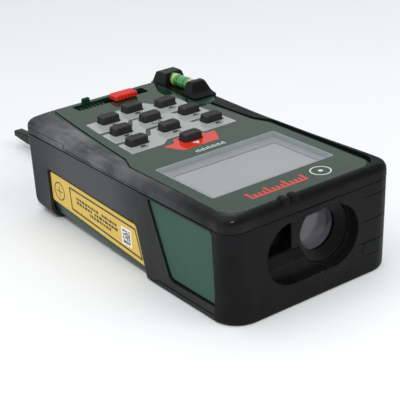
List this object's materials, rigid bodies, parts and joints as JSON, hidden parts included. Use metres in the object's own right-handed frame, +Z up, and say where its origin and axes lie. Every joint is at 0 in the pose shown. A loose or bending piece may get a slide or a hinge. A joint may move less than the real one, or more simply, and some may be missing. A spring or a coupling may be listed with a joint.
{
  "type": "laser distance meter",
  "caption": "Hand-held laser distance meter with display, keypad, spirit level, front optics, fold-out positioning pin, pin lock and battery cover.",
  "frame": {"origin": "on the flat underside, in the middle of the body's width and length", "axes": "+Z up through the keypad, the optics look along -Y, the pin unfolds to +Y, +X is the side with the spirit level"},
  "size_m": [0.058, 0.162, 0.036],
  "materials": {
    "green_plastic": "fine matt grain",
    "panel_green": "satin",
    "fascia_gloss": "polished, printed fields",
    "black_rubber": "matt, slightly dusty",
    "black_plastic": "satin",
    "key_rubber": "satin",
    "red_plastic": "satin gloss",
    "clear_window": "clear",
    "lcd_grey": "reflective grey, unlit",
    "bezel_grey": "printed",
    "label_yellow": "printed film",
    "label_silver": "printed film",
    "lens_glass": "coated",
    "vial_green": "tinted liquid",
    "anodised": "black anodised",
    "brass": "machined",
    "steel": "bright",
    "circuit_board": "solder mask",
    "silicone": "matt",
    "cell_sleeve": "shrink sleeve",
    "polyimide": "film"
  },
  "bodies": {
    "meter": {"lower_housing": "green_plastic", "upper_housing": "green_plastic", "top_bumper": "black_rubber", "grip_left": "black_rubber", "grip_right": "black_rubber", "front_cap": "black_plastic", "side_panel_left": "panel_green", "side_panel_right": "panel_green", "label_left": "label_yellow", "label_right": "label_silver", "fascia": "fascia_gloss", "display_window": "clear_window", "display_bezel": "bezel_grey", "lcd_module": "lcd_grey", "level_holder": "black_plastic", "level_vial": "vial_green", "pin_axle": "steel", "battery_tray": "black_plastic", "battery_1": "cell_sleeve", "battery_2": "cell_sleeve", "battery_3": "cell_sleeve", "battery_4": "cell_sleeve", "contact_left_front": "steel", "contact_left_middle": "steel", "contact_left_rear": "steel", "contact_right_front": "steel", "contact_right_rear": "steel", "main_board": "circuit_board", "keypad_mat": "silicone", "display_ribbon": "polyimide", "buzzer": "black_plastic", "receiver_board": "circuit_board", "optics_chassis": "anodised", "laser_module": "brass", "laser_window": "lens_glass", "photodiode": "steel", "lens_ring": "anodised", "receiving_lens": "lens_glass", "housing_screw_1": "steel", "housing_screw_2": "steel", "housing_screw_3": "steel", "housing_screw_4": "steel", "tripod_insert": "brass"},
    "key_measure": {"key_measure": "key_rubber"},
    "key_left_1": {"key_left_1": "key_rubber"},
    "key_left_2": {"key_left_2": "key_rubber"},
    "key_left_3": {"key_left_3": "key_rubber"},
    "key_middle_1": {"key_middle_1": "key_rubber"},
    "key_middle_2": {"key_middle_2": "key_rubber"},
    "key_middle_3": {"key_middle_3": "key_rubber"},
    "key_right_1": {"key_right_1": "key_rubber"},
    "key_right_2": {"key_right_2": "key_rubber"},
    "key_right_3": {"key_right_3": "key_rubber"},
    "pin_lock": {"lock_slider": "red_plastic", "lock_bar": "black_plastic", "lock_spring": "steel"},
    "pin": {"positioning_pin": "black_plastic"},
    "cover": {"battery_cover": "green_plastic"},
    "latch": {"cover_latch": "black_plastic"}
  },
  "joints": [
    {"name": "key_measure_press", "type": "slide", "parent": "meter", "child": "key_measure", "axis": [0, 0, -1], "range_m": [0, 0.0008], "stiffness_N_per_m": 1200},
    {"name": "key_left_1_press", "type": "slide", "parent": "meter", "child": "key_left_1", "axis": [0, 0, -1], "range_m": [0, 0.0008], "stiffness_N_per_m": 1200},
    {"name": "key_left_2_press", "type": "slide", "parent": "meter", "child": "key_left_2", "axis": [0, 0, -1], "range_m": [0, 0.0008], "stiffness_N_per_m": 1200},
    {"name": "key_left_3_press", "type": "slide", "parent": "meter", "child": "key_left_3", "axis": [0, 0, -1], "range_m": [0, 0.0008], "stiffness_N_per_m": 1200},
    {"name": "key_middle_1_press", "type": "slide", "parent": "meter", "child": "key_middle_1", "axis": [0, 0, -1], "range_m": [0, 0.0008], "stiffness_N_per_m": 1200},
    {"name": "key_middle_2_press", "type": "slide", "parent": "meter", "child": "key_middle_2", "axis": [0, 0, -1], "range_m": [0, 0.0008], "stiffness_N_per_m": 1200},
    {"name": "key_middle_3_press", "type": "slide", "parent": "meter", "child": "key_middle_3", "axis": [0, 0, -1], "range_m": [0, 0.0008], "stiffness_N_per_m": 1200},
    {"name": "key_right_1_press", "type": "slide", "parent": "meter", "child": "key_right_1", "axis": [0, 0, -1], "range_m": [0, 0.0008], "stiffness_N_per_m": 1200},
    {"name": "key_right_2_press", "type": "slide", "parent": "meter", "child": "key_right_2", "axis": [0, 0, -1], "range_m": [0, 0.0008], "stiffness_N_per_m": 1200},
    {"name": "key_right_3_press", "type": "slide", "parent": "meter", "child": "key_right_3", "axis": [0, 0, -1], "range_m": [0, 0.0008], "stiffness_N_per_m": 1200},
    {"name": "pin_lock_slide", "type": "slide", "parent": "meter", "child": "pin_lock", "axis": [1, 0, 0], "range_m": [0, 0.0048], "stiffness_N_per_m": 250, "deforming": ["lock_spring"]},
    {"name": "pin_swing", "type": "hinge", "parent": "meter", "child": "pin", "pos_m": [-0.0043, 0.048, 0.0036], "axis": [1, 0, 0], "range_deg": [-180, 0]},
    {"name": "cover_hinge", "type": "hinge", "parent": "meter", "child": "cover", "pos_m": [0, 0.0015, 0.0001], "axis": [-1, 0, 0], "range_deg": [0, 75]},
    {"name": "latch_slide", "type": "slide", "parent": "cover", "child": "latch", "axis": [0, -1, 0], "range_m": [0, 0.0015], "stiffness_N_per_m": 300}
  ]
}
